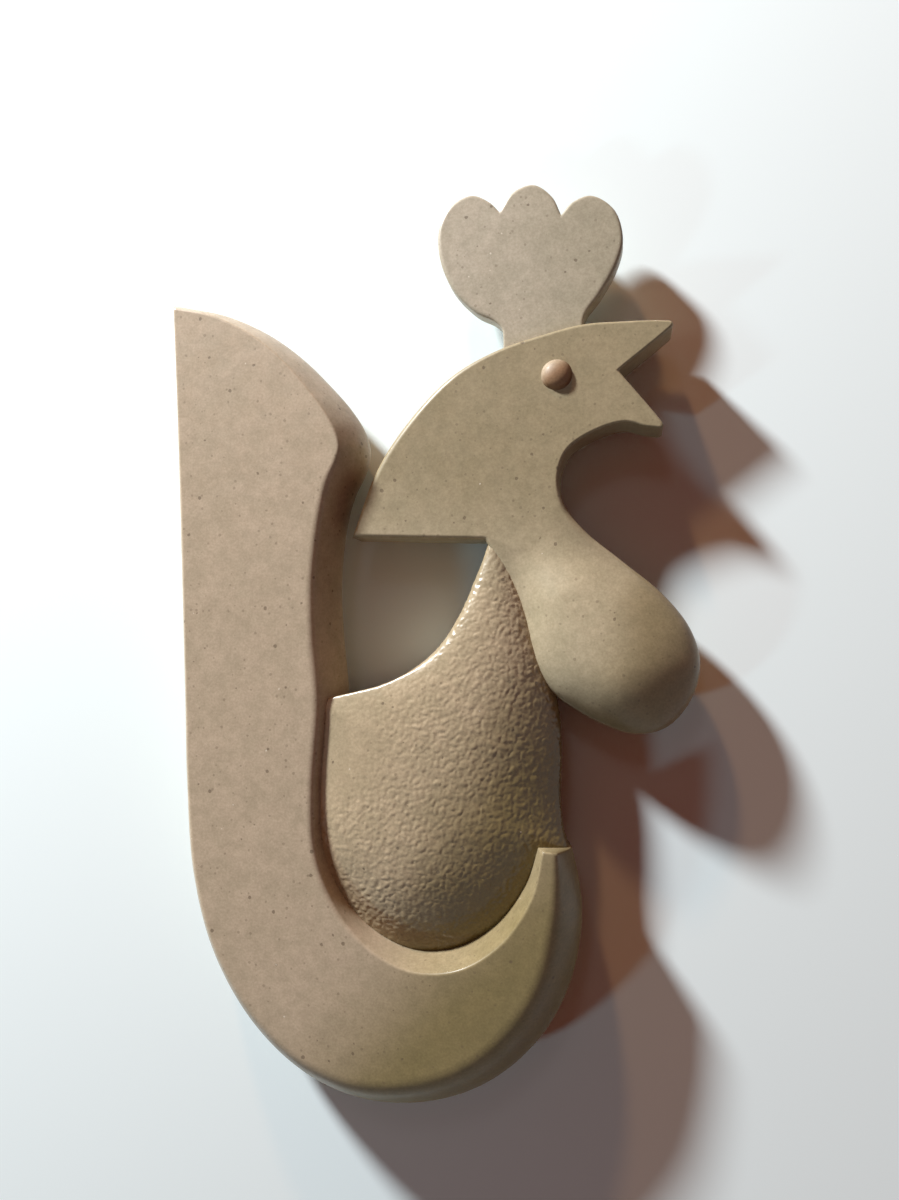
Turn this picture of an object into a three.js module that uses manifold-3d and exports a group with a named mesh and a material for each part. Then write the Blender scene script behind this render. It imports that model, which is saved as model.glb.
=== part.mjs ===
import * as THREE from 'three';
import { mergeVertices } from 'three/addons/utils/BufferGeometryUtils.js';
import Module from 'manifold-3d';

// Stylised rooster figure lying on its back face.
// Millimetres. +Y runs toward the comb, +Z out of the surface it lies on, the beak points along +X.
// Every piece is the same on both sides of one middle plane.

// Thickness of the three slabs
const BODY_THICKNESS = 14.6;
const HEAD_THICKNESS = 7.3;
const COMB_THICKNESS = 3.6;
const MIDDLE = BODY_THICKNESS / 2;

// Half thickness of the rounded forms where they are fullest
const BREAST_HALF = 6.8;
const WATTLE_HALF = 6.9;

// Rounded edge between a flat face and its wall
const BODY_EDGE = 0.5;
const HEAD_EDGE = 0.4;
const COMB_EDGE = 0.5;

// Shape of a wall from face to middle plane: 1 is a straight slope, more is rounder
const BODY_WALL_POWER = 1.5;
const COMB_WALL_POWER = 2;

// Clearance between two pieces that are seated against each other
const SEAT_GAP = 0.3;

// Hidden steel dowels and their blind holes
const DOWEL_RADIUS = 1.2;
const COMB_DOWEL_RADIUS = 0.8;
const DOWEL_CLEARANCE = 0.1;
const DOWEL_END_ROOM = 0.4;
const DOWEL_CHAMFER = 0.3;
const DOWEL_LENGTH = 11;
const COMB_DOWEL_LENGTH = 9;
const NECK_DOWEL_LENGTH = 8;

// Domed eye studs
const EYE_RADIUS = 2.3;
const EYE_RISE = 1.5;
const EYE_SINK = 0.5;
const EYE_SHANK_RADIUS = 1.1;
const EYE_SHANK_LENGTH = 1.6;
const EYE_AT = [22.2, 42.9];

// Spacing of the samples along outlines
const BODY_SPACING = 2.6;
const HEAD_SPACING = 1.8;
const COMB_SPACING = 1.2;
const BREAST_SPACING = 2.2;

const ROUND_STEPS = 3;
const WALL_STEPS = 3;
const PILLOW_STEPS = 8;
const ROUND_SEGMENTS = 28;
const CORE_SAMPLES = 120;
const PILLOW_SPREAD = 1.6;

const wasm = await Module();
wasm.setup();

// An outline is a list of edges that run anticlockwise and meet in corners.
// An edge is a list of points [x, y, swell]. Swell is how far the wall stands out on the middle plane.

// Hook-shaped body: tail, bowl and lip
const LIP_OUTER = [25.05, -34.2];
const LIP_INNER = [22.8, -34.2];
const TAIL_TIP = [-44.9, 54.8];
const TAIL_HEEL = [-13.6, 30.2];

const BODY_OUTLINE = [
  [
    [...TAIL_TIP, 2.4],
    [-41.8, 23, 3],
    [-38.7, -13.4, 3],
    [-37.6, -26.9, 3],
    [-35.4, -42.7, 3.2],
    [-31, -55, 3.6],
    [-24, -64.8, 4],
    [-15.5, -71.3, 4.3],
    [-6.5, -74.1, 4.6],
    [3, -73.3, 4.9],
    [11.5, -69.8, 4.9],
    [18.6, -63.3, 4.8],
    [23.1, -55.4, 4.4],
    [25, -46, 4],
    [25.3, -40.6, 3.2],
    [...LIP_OUTER, 1.8],
  ],
  [
    [...LIP_OUTER, -0.3],
    [...LIP_INNER, -0.3],
  ],
  [
    [...LIP_INNER, 1.4],
    [21.3, -41.6, 2],
    [16.6, -49.2, 2.3],
    [9.8, -53.9, 2.2],
    [2, -54.7, 1.8],
    [-5, -51.7, 1.5],
    [-11, -45.6, 1.4],
    [-14.5, -37.6, 1.6],
    [-15.5, -27.1, 2.4],
    [-15.3, -13, 3.2],
    [-16.7, -2, 3.2],
    [-17.2, 8, 2.8],
    [-16.4, 18.6, 2.6],
    [-15.3, 24.4, 3],
    [-14, 27.9, 3.3],
    [...TAIL_HEEL, 3.5],
    [-14.3, 32.6, 3.6],
    [-16.4, 36.2, 3.3],
    [-19.9, 40.5, 2.9],
    [-24.6, 45.4, 2.5],
    [-30.5, 49.9, 2.2],
    [-37.8, 53.3, 2.1],
    [...TAIL_TIP, 2.2],
  ],
];

// Head and wattle in one outline: jaw line, crease, wattle, throat, beak and crown.
// Here the third number is the share of the rounded drop: 0 is the flat head, 1 the full wattle.
const HEAD_REAR = [-11.8, 15.4];
const NAPE = [11.2, 15.4];
const BEAK_TIP = [40.7, 51.2];
const MOUTH = [32.2, 43.5];
const JAW_TIP = [39.6, 34.2];
const THROAT_TOP = [33.6, 34.9];
const BROW = [33, 51.7];

const HEAD_OUTLINE = [
  [
    [...HEAD_REAR],
    [...NAPE],
  ],
  [
    [...NAPE, 0],
    [13.3, 11.7, 0.1],
    [15.3, 7.3, 0.42],
    [17.2, 2.3, 0.8],
    [18.4, -2.4, 1],
    [19.9, -6.1, 1],
    [22.7, -9.4, 1],
    [26.8, -12, 1],
    [31.5, -14.3, 1],
    [36.6, -15.6, 1],
    [41.5, -14.3, 1],
    [45.1, -10, 1],
    [46.6, -4, 1],
    [45, 1.6, 1],
    [40.4, 7.3, 0.96],
    [33.6, 12.6, 0.6],
    [27.6, 17.2, 0.16],
    [24.1, 21.4, 0.03],
    [23, 26, 0],
    [24.4, 30.4, 0],
    [28.8, 33.5, 0],
    [...THROAT_TOP, 0],
  ],
  [
    [...THROAT_TOP],
    [...JAW_TIP],
  ],
  [
    [...JAW_TIP],
    [...MOUTH],
  ],
  [
    [...MOUTH],
    [...BEAK_TIP],
  ],
  [
    [...BEAK_TIP],
    [...BROW],
  ],
  [
    [...BROW],
    [26.3, 51.4],
    [19.7, 49.8],
    [11.5, 47.1],
    [4.4, 43],
    [-2.4, 35.9],
    [-7.8, 27.4],
    [...HEAD_REAR],
  ],
];

// Line along the middle of the neck and wattle: [x, y, half thickness]
const WATTLE_CORE = [
  [19.2, 18.5, HEAD_THICKNESS / 2],
  [21.6, 11, WATTLE_HALF * 0.66],
  [25.4, 4.6, WATTLE_HALF * 0.86],
  [29.4, -1, WATTLE_HALF * 0.97],
  [33.2, -5.4, WATTLE_HALF],
];

// Breast, drawn a little into the body and the neck and then cut back to the seat gap.
// Here the third number is the half height of the side wall.
const BREAST_OUTLINE = [
  [
    [-17, -12.8, 4.4],
    [-17.4, -24, 4.2],
    [-17, -33, 3.8],
    [-15, -41.5, 3],
    [-11, -48, 1.8],
    [-5.5, -52.6, 1],
    [1.5, -54.4, 0.6],
    [8, -53.4, 0.4],
    [14, -50.4, 0.3],
    [19, -46.2, 0.3],
    [22.4, -41.4, 0.5],
    [25, -37.6, 0.8],
    [26.3, -34.9, 1],
    [25.5, -31.6, 1.1],
    [24.9, -27, 1.2],
    [24.8, -20, 1.2],
    [24.2, -13, 1.2],
    [22.6, -6, 1.3],
    [20.2, 1.4, 1.5],
    [17.4, 8.2, 2],
    [14.3, 13.8, 2.6],
    [11.8, 17.4, 3.2],
  ],
  [
    [11.8, 17.4, 3.2],
    [11.2, 13.6, 3.3],
    [9.5, 8.3, 3.9],
    [7.5, 2.9, 4.6],
    [4.3, -2.6, 5.2],
    [0, -6.7, 5.5],
    [-4.5, -9.2, 5.5],
    [-10, -10.9, 5.2],
    [-13, -11.7, 4.8],
    [-17, -12.8, 4.4],
  ],
];

// Line along the top of the breast: [x, y, half thickness]
const BREAST_CORE = [
  [12.6, 11.5, BREAST_HALF * 0.57],
  [9.3, 3, BREAST_HALF * 0.74],
  [4.6, -5, BREAST_HALF * 0.88],
  [-1, -13, BREAST_HALF * 0.97],
  [-4.4, -22, BREAST_HALF],
  [-5.2, -31, BREAST_HALF * 0.96],
];

// A rounded form is a dome on a steep side. Dome is its share of the height, the rest is the side.
// Fullness says how far the dome stays flat from the core line outward.
const BREAST_DOME = 0.62;
const BREAST_FULLNESS = 2.6;
const WATTLE_DOME = 0.56;
const WATTLE_FULLNESS = 2.1;
const SIDE_STEEPNESS = 18;

// Half height of the wattle at its outline
const WATTLE_RIM = 0.15;

// How far the rounded forms close on their core line, and how often their feet on it are evened out
const INNERMOST = 0.1;
const EVENING_PASSES = 8;

// Share of the drop from which the rings of the neck close on the core line
const NECK_SHARE = 0.08;

// Tiny extra step per ring that keeps the rings of the flat head apart
const FLAT_STEP = 0.05;

// Comb of three lobes on a short stem, drawn a little into the crown and then cut back to the seat gap
const LOBE_NOTCH_REAR = [11.4, 71.9];
const LOBE_NOTCH_FRONT = [21.9, 70.9];
const STEM_REAR = [12.9, 46.4];
const STEM_FRONT = [26.2, 49.4];

const COMB_OUTLINE = [
  [
    [...STEM_REAR],
    [...STEM_FRONT],
  ],
  [
    [...STEM_FRONT],
    [26.4, 53.3],
    [28.9, 57],
    [31.3, 61.6],
    [32.3, 66.3],
    [30.7, 71.4],
    [26.8, 74],
    [23.7, 73],
    [...LOBE_NOTCH_FRONT],
  ],
  [
    [...LOBE_NOTCH_FRONT],
    [20.2, 74.2],
    [17, 76.4],
    [13.5, 75.2],
    [...LOBE_NOTCH_REAR],
  ],
  [
    [...LOBE_NOTCH_REAR],
    [9.5, 73.8],
    [6.4, 75.1],
    [3, 73.5],
    [1, 70],
    [1.1, 64.8],
    [3.6, 58.9],
    [8, 54.5],
    [11.2, 52.9],
    [12.5, 51.6],
    [12.8, 50.2],
    [...STEM_REAR],
  ],
];

// Dowel centres and directions in the middle plane
const TAIL_DOWEL = { at: [-13, -22], along: [1, 0], length: DOWEL_LENGTH, radius: DOWEL_RADIUS };
const BOWL_DOWEL = { at: [3, -53], along: [0, 1], length: DOWEL_LENGTH, radius: DOWEL_RADIUS };
const NECK_DOWEL = { at: [16.4, 4.6], along: [0.93, 0.37], length: NECK_DOWEL_LENGTH, radius: DOWEL_RADIUS };
const COMB_DOWEL = {
  at: [17.6, 49.4],
  along: [-0.17, 0.98],
  length: COMB_DOWEL_LENGTH,
  radius: COMB_DOWEL_RADIUS,
};

// One list of outline samples, each with the swell of the edge before and after it
function traceOutline(edges, spacing) {
  const samples = [];
  edges.forEach((edge) => {
    const knots = edge.map(([x, y, swell = 0]) => new THREE.Vector3(x, y, swell));
    const curve = new THREE.CatmullRomCurve3(knots, false, 'centripetal');
    const count = edge.length === 2 ? 1 : Math.ceil(curve.getLength() / spacing);
    const run = curve.getSpacedPoints(count);
    const corner = samples[samples.length - 1];
    if (corner) {
      corner.after = run[0].z;
    } else {
      samples.push({ x: run[0].x, y: run[0].y, before: run[0].z, after: run[0].z });
    }
    run.slice(1).forEach((p) => samples.push({ x: p.x, y: p.y, before: p.z, after: p.z }));
  });
  const last = samples.pop();
  samples[0].before = last.before;
  return samples;
}

// Outward unit normal of the step from one sample to the next
function stepNormal(from, to) {
  return new THREE.Vector2(to.y - from.y, from.x - to.x).normalize();
}

// The outline moved outward by a share of its swell plus a fixed growth, with true corners
function offsetOutline(samples, share, growth) {
  const PARALLEL = 0.3;
  return samples.map((sample, i) => {
    const previous = samples[(i + samples.length - 1) % samples.length];
    const next = samples[(i + 1) % samples.length];
    const n = stepNormal(previous, sample);
    const m = stepNormal(sample, next);
    const a = sample.before * share + growth;
    const b = sample.after * share + growth;
    const cross = n.x * m.y - n.y * m.x;
    if (Math.abs(cross) < PARALLEL) {
      const mean = n.clone().add(m).normalize().multiplyScalar((a + b) / 2);
      return new THREE.Vector2(sample.x + mean.x, sample.y + mean.y);
    }
    const dx = (a * m.y - b * n.y) / cross;
    const dy = (b * n.x - a * m.x) / cross;
    return new THREE.Vector2(sample.x + dx, sample.y + dy);
  });
}

// Closed solid from stacked rings of equal length, both ends closed by the same cap triangles
function stackRings(rings, cap) {
  const count = rings[0].length;
  const positions = [];
  const index = [];
  rings.forEach((ring) => ring.forEach((p) => positions.push(p.x, p.y, p.z)));
  for (let r = 0; r < rings.length - 1; r += 1) {
    for (let i = 0; i < count; i += 1) {
      const j = (i + 1) % count;
      const a = r * count + i;
      const b = r * count + j;
      const c = (r + 1) * count + j;
      const d = (r + 1) * count + i;
      index.push(a, b, c, a, c, d);
    }
  }
  const top = (rings.length - 1) * count;
  cap.forEach(([a, b, c]) => {
    index.push(a, c, b);
    index.push(top + a, top + b, top + c);
  });
  const geometry = new THREE.BufferGeometry();
  geometry.setAttribute('position', new THREE.Float32BufferAttribute(positions, 3));
  geometry.setIndex(index);
  return geometry;
}

// Triangles that fill a flat ring, or the part of it that the given indices run round
function fillFlat(ring, indices = ring.map((p, i) => i)) {
  const contour = indices.map((i) => new THREE.Vector2(ring[i].x, ring[i].y));
  return THREE.ShapeUtils.triangulateShape(contour, []).map((corners) => corners.map((c) => indices[c]));
}

// Triangles that close a ring along its core line from the far end back, and then fill the flat rest
function fillAlongCore(ring, feet, isFlat) {
  const count = ring.length;
  const far = feet.reduce((best, foot, i) => (foot.w > feet[best].w ? i : best), 0);
  const triangles = [];
  let left = far;
  let right = (far + 1) % count;
  while (!(isFlat(left) && isFlat(right))) {
    const nextLeft = (left + count - 1) % count;
    const nextRight = (right + 1) % count;
    if (nextLeft === nextRight) {
      return [...triangles, [left, right, nextRight]];
    }
    const goLeft = isFlat(right) || (!isFlat(left) && feet[nextLeft].w >= feet[nextRight].w);
    if (goLeft) {
      triangles.push([nextLeft, left, right]);
      left = nextLeft;
    } else {
      triangles.push([left, right, nextRight]);
      right = nextRight;
    }
  }
  const rest = [];
  for (let i = right; i !== left; i = (i + 1) % count) {
    rest.push(i);
  }
  rest.push(left);
  return [...triangles, ...fillFlat(ring, rest)];
}

// Heights and shifts from the bottom face to the top face of a slab with rounded face edges
function slabLevels(half, edge, power) {
  const wall = half - edge;
  const upper = [];
  for (let k = 0; k < WALL_STEPS; k += 1) {
    const part = k / WALL_STEPS;
    upper.push({ height: wall * part, share: 1 - part ** power, inset: 0 });
  }
  for (let k = 0; k <= ROUND_STEPS; k += 1) {
    const turn = (k / ROUND_STEPS) * (Math.PI / 2);
    upper.push({ height: wall + edge * Math.sin(turn), share: 0, inset: edge * (1 - Math.cos(turn)) });
  }
  const lower = upper.slice(1).reverse().map((level) => ({ ...level, height: -level.height }));
  return [...lower, ...upper];
}

// Flat slab whose walls swell toward the middle plane
function makeSlab({ edges, thickness, edge, power, spacing }, growth = 0) {
  const samples = traceOutline(edges, spacing);
  const rings = slabLevels(thickness / 2 + growth, edge, power).map((level) => {
    const ring = offsetOutline(samples, level.share, growth - level.inset);
    return ring.map((p) => new THREE.Vector3(p.x, p.y, MIDDLE + level.height));
  });
  return toSolid(stackRings(rings, fillFlat(rings[0])));
}

// Rings of a rounded form from its outline to its core line: reach is the way left to the core
function pillowLevels({ dome, fullness }) {
  const levels = [];
  for (let k = 0; k <= PILLOW_STEPS; k += 1) {
    const reach = 1 - (1 - INNERMOST) * (k / PILLOW_STEPS) ** PILLOW_SPREAD;
    const side = Math.sqrt(1 - reach ** SIDE_STEEPNESS);
    levels.push({ k, reach, rise: dome * (1 - reach ** fullness) + (1 - dome) * side });
  }
  return levels;
}

// Closed solid from rings that give, for each outline sample, a place and a height off the middle plane
function mirrorRings(rings, cap) {
  const place = (side) => (ring) => ring.map((p) => new THREE.Vector3(p.x, p.y, MIDDLE + side * p.z));
  const top = rings.map(place(1));
  const bottom = rings.map(place(-1)).reverse();
  return toSolid(stackRings([...bottom, ...top], cap));
}

function pillowPoint(p, foot, level, rim, growth) {
  const height = rim + (foot.z - rim) * level.rise + growth;
  const x = foot.x + (p.x - foot.x) * level.reach;
  const y = foot.y + (p.y - foot.y) * level.reach;
  return new THREE.Vector3(x, y, height);
}

// Rounded form that rises from its outline to its core line on both sides
function makePillow({ edges, core, spacing, shape }) {
  const outline = traceOutline(edges, spacing);
  const feet = findFeet(traceCore(core), outline);
  const rings = pillowLevels(shape).map((level) => {
    return outline.map((p, i) => pillowPoint(p, feet[i], level, (p.before + p.after) / 2, 0));
  });
  const cap = fillAlongCore(rings[rings.length - 1], feet, () => false);
  return mirrorRings(rings, cap);
}

// Flat head that turns into the rounded wattle along its outline
function makeHeadBody({ edges, core, thickness, edge, spacing, shape }, growth = 0) {
  const samples = traceOutline(edges, spacing);
  const outline = offsetOutline(samples, 0, growth);
  const feet = findFeet(traceCore(core), outline);
  const rings = pillowLevels(shape).map((level) => {
    const turn = Math.min(level.k / ROUND_STEPS, 1) * (Math.PI / 2);
    const inset = edge * (1 - Math.cos(turn)) + level.k * FLAT_STEP;
    const height = thickness / 2 - edge * (1 - Math.sin(turn)) + growth;
    const flat = offsetOutline(samples, 0, growth - inset);
    return outline.map((p, i) => {
      const round = pillowPoint(p, feet[i], level, WATTLE_RIM, growth);
      const share = THREE.MathUtils.clamp(samples[i].after, 0, 1);
      const closing = THREE.MathUtils.clamp(share / NECK_SHARE, 0, 1);
      const point = new THREE.Vector3(flat[i].x, flat[i].y, 0).lerp(round, closing);
      return point.setZ(THREE.MathUtils.lerp(height, round.z, share));
    });
  });
  const cap = fillAlongCore(rings[rings.length - 1], feet, (i) => samples[i].after < NECK_SHARE);
  return mirrorRings(rings, cap);
}

// Samples of a core line: x, y, half thickness and the share of its length passed
function traceCore(core) {
  const knots = core.map(([x, y, half]) => new THREE.Vector3(x, y, half));
  const line = new THREE.CatmullRomCurve3(knots, false, 'centripetal').getSpacedPoints(CORE_SAMPLES);
  return line.map((q, i) => new THREE.Vector4(q.x, q.y, q.z, i / CORE_SAMPLES));
}

// For each outline sample the place on the core line it belongs to, evened out between neighbours
function findFeet(line, outline) {
  const nearest = (point) => {
    const distance = (q) => Math.hypot(q.x - point.x, q.y - point.y);
    return line.reduce((best, q) => (distance(q) < distance(best) ? q : best));
  };
  let feet = outline.map((p) => nearest(p).clone());
  for (let pass = 0; pass < EVENING_PASSES; pass += 1) {
    feet = feet.map((foot, i) => {
      const before = feet[(i + feet.length - 1) % feet.length];
      const after = feet[(i + 1) % feet.length];
      return before.clone().add(after).multiplyScalar(0.5).add(foot).multiplyScalar(0.5);
    });
  }
  return feet;
}

// Round solid turned about Z from a profile that starts and ends on the axis
function makeTurned(profile) {
  const points = profile.map(([r, z]) => new THREE.Vector2(r, z));
  const geometry = new THREE.LatheGeometry(points, ROUND_SEGMENTS);
  return geometry.rotateX(Math.PI / 2);
}

function toSolid(geometry) {
  const bare = geometry.clone();
  bare.deleteAttribute('normal');
  bare.deleteAttribute('uv');
  const merged = mergeVertices(bare);
  const mesh = new wasm.Mesh({
    numProp: 3,
    vertProperties: new Float32Array(merged.getAttribute('position').array),
    triVerts: new Uint32Array(merged.getIndex().array),
  });
  return new wasm.Manifold(mesh);
}

function toGeometry(solid) {
  const mesh = solid.getMesh();
  const geometry = new THREE.BufferGeometry();
  geometry.setAttribute('position', new THREE.Float32BufferAttribute(mesh.vertProperties, 3));
  geometry.setIndex([...mesh.triVerts]);
  geometry.computeVertexNormals();
  return geometry;
}

// Straight round pin with chamfered ends, laid along its direction in the middle plane
function makeDowel({ at, along, length, radius }) {
  const half = length / 2;
  const tip = radius - DOWEL_CHAMFER;
  const geometry = makeTurned([
    [0, -half],
    [tip, -half],
    [radius, -half + DOWEL_CHAMFER],
    [radius, half - DOWEL_CHAMFER],
    [tip, half],
    [0, half],
  ]);
  return layAlong(geometry, at, along);
}

// The blind hole that a dowel sits in
function makeDowelHole({ at, along, length, radius }) {
  const half = length / 2 + DOWEL_END_ROOM;
  const bore = radius + DOWEL_CLEARANCE;
  const geometry = makeTurned([
    [0, -half],
    [bore, -half],
    [bore, half],
    [0, half],
  ]);
  return toSolid(layAlong(geometry, at, along));
}

function layAlong(geometry, [x, y], [dx, dy]) {
  const direction = new THREE.Vector3(dx, dy, 0).normalize();
  const turn = new THREE.Quaternion().setFromUnitVectors(new THREE.Vector3(0, 0, 1), direction);
  return geometry.applyQuaternion(turn).translate(x, y, MIDDLE);
}

// Domed stud with a shank, as a profile above the face it sits on
function eyeProfile(growth) {
  const SHOULDER = 0.25;
  const DOME_STEPS = 6;
  const radius = EYE_RADIUS + growth;
  const profile = [
    [0, -EYE_SINK - EYE_SHANK_LENGTH - growth],
    [EYE_SHANK_RADIUS + growth, -EYE_SINK - EYE_SHANK_LENGTH - growth],
    [EYE_SHANK_RADIUS + growth, -EYE_SINK - growth],
    [radius, -EYE_SINK - growth],
  ];
  for (let k = 0; k < DOME_STEPS; k += 1) {
    const turn = (k / DOME_STEPS) * (Math.PI / 2);
    const rise = SHOULDER + (EYE_RISE - SHOULDER) * Math.sin(turn);
    profile.push([radius * Math.cos(turn), rise + growth]);
  }
  profile.push([0, EYE_RISE + growth]);
  return profile;
}

// The stud on one side of the head: side is 1 for the front and -1 for the back
function placeEye(geometry, side) {
  const [x, y] = EYE_AT;
  if (side < 0) {
    geometry.rotateX(Math.PI);
  }
  return geometry.translate(x, y, MIDDLE + side * (HEAD_THICKNESS / 2));
}

const BODY = {
  edges: BODY_OUTLINE,
  thickness: BODY_THICKNESS,
  edge: BODY_EDGE,
  power: BODY_WALL_POWER,
  spacing: BODY_SPACING,
};

const HEAD = {
  edges: HEAD_OUTLINE,
  core: WATTLE_CORE,
  thickness: HEAD_THICKNESS,
  edge: HEAD_EDGE,
  spacing: HEAD_SPACING,
  shape: { dome: WATTLE_DOME, fullness: WATTLE_FULLNESS },
};

const COMB = {
  edges: COMB_OUTLINE,
  thickness: COMB_THICKNESS,
  edge: COMB_EDGE,
  power: COMB_WALL_POWER,
  spacing: COMB_SPACING,
};

const BREAST = {
  edges: BREAST_OUTLINE,
  core: BREAST_CORE,
  spacing: BREAST_SPACING,
  shape: { dome: BREAST_DOME, fullness: BREAST_FULLNESS },
};

// Hook-shaped slab with the two dowel holes of the breast
function makeTail() {
  return makeSlab(BODY)
    .subtract(makeDowelHole(TAIL_DOWEL))
    .subtract(makeDowelHole(BOWL_DOWEL));
}

// Bulging breast, cut back to the seat gap where the bowl and the neck hold it
function makeBreast() {
  return makePillow(BREAST)
    .subtract(makeSlab(BODY, SEAT_GAP))
    .subtract(makeHeadBody(HEAD, SEAT_GAP))
    .subtract(makeDowelHole(TAIL_DOWEL))
    .subtract(makeDowelHole(BOWL_DOWEL))
    .subtract(makeDowelHole(NECK_DOWEL));
}

// Flat head and neck with the drop-shaped wattle, eye seats and dowel holes
function makeHead() {
  const seat = (side) => toSolid(placeEye(makeTurned(eyeProfile(SEAT_GAP)), side));
  return makeHeadBody(HEAD)
    .subtract(seat(1))
    .subtract(seat(-1))
    .subtract(makeDowelHole(NECK_DOWEL))
    .subtract(makeDowelHole(COMB_DOWEL));
}

// Three-lobed comb, its foot cut to the curve of the crown
function makeComb() {
  return makeSlab(COMB)
    .subtract(makeHeadBody(HEAD, SEAT_GAP))
    .subtract(makeDowelHole(COMB_DOWEL));
}

function stoneMaterial(colour) {
  return new THREE.MeshStandardMaterial({ color: colour, roughness: 0.38, metalness: 0 });
}

function steelMaterial() {
  return new THREE.MeshStandardMaterial({ color: '#8f9194', roughness: 0.35, metalness: 1 });
}

function addPiece(group, name, geometry, material) {
  const mesh = new THREE.Mesh(geometry, material);
  mesh.name = name;
  group.add(mesh);
}

// Moves every piece so that the origin is under the middle of the whole figure
function centreOnBase(group) {
  const box = new THREE.Box3().setFromObject(group);
  const centre = box.getCenter(new THREE.Vector3());
  group.children.forEach((mesh) => mesh.geometry.translate(-centre.x, -centre.y, -box.min.z));
}

function buildRooster() {
  const group = new THREE.Group();
  group.name = 'rooster_figure';
  addPiece(group, 'tail', toGeometry(makeTail()), stoneMaterial('#b9a88c'));
  addPiece(group, 'breast', toGeometry(makeBreast()), stoneMaterial('#a08a66'));
  addPiece(group, 'head', toGeometry(makeHead()), stoneMaterial('#b3a17f'));
  addPiece(group, 'comb', toGeometry(makeComb()), stoneMaterial('#b6a68c'));
  addPiece(group, 'eye_front', placeEye(makeTurned(eyeProfile(0)), 1), stoneMaterial('#a5794f'));
  addPiece(group, 'eye_back', placeEye(makeTurned(eyeProfile(0)), -1), stoneMaterial('#a5794f'));
  addPiece(group, 'tail_dowel', makeDowel(TAIL_DOWEL), steelMaterial());
  addPiece(group, 'bowl_dowel', makeDowel(BOWL_DOWEL), steelMaterial());
  addPiece(group, 'neck_dowel', makeDowel(NECK_DOWEL), steelMaterial());
  addPiece(group, 'comb_dowel', makeDowel(COMB_DOWEL), steelMaterial());
  centreOnBase(group);
  return group;
}

export default buildRooster();
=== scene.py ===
import math

import bpy
import numpy as np
from mathutils import Matrix, Vector, noise


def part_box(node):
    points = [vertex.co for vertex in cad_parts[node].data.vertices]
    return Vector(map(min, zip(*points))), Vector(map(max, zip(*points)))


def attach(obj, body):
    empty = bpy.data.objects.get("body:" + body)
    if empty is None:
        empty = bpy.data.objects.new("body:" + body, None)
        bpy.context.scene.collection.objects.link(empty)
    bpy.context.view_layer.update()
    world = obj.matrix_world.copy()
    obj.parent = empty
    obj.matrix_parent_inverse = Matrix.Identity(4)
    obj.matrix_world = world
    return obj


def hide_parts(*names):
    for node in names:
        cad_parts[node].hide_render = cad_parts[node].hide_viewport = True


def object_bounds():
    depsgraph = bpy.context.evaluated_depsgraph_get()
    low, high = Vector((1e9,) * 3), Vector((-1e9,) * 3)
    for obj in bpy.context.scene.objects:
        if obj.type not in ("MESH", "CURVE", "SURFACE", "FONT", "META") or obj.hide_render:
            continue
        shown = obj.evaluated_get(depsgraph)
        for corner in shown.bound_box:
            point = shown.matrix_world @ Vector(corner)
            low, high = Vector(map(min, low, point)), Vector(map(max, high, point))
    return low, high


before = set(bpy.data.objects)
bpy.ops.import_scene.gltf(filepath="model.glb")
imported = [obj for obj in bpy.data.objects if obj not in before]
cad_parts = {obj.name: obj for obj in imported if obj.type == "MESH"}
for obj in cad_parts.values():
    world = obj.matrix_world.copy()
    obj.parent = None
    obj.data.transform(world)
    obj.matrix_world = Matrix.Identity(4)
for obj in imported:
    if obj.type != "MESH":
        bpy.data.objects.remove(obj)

CAD_LOW, CAD_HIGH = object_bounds()

MM = 0.001

# Sizes are in millimetres in the drawing frame of the outlines below.
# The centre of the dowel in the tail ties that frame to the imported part.
DOWEL_DRAWN_AT = (-13.0, -22.0)
BODY_HALF = 7.3
HEAD_HALF = 3.65
COMB_HALF = 1.8
WATTLE_HALF = 6.9
BREAST_HALF = 7.15

dowel_low, dowel_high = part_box("tail_dowel")
SHIFT = np.array([
    (dowel_low[0] + dowel_high[0]) / 2 / MM - DOWEL_DRAWN_AT[0],
    (dowel_low[1] + dowel_high[1]) / 2 / MM - DOWEL_DRAWN_AT[1],
    BODY_HALF,
])

# Outlines run anticlockwise as lists of edges that meet in corners.
# A point of the body is [x, y, swell of the wall on the middle plane, size of the rounded edge].
LIP_OUTER = [25.05, -34.2]
LIP_INNER = [22.8, -34.2]
TAIL_TIP = [-44.9, 54.8]
TAIL_HEEL = [-13.6, 30.2]

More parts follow.
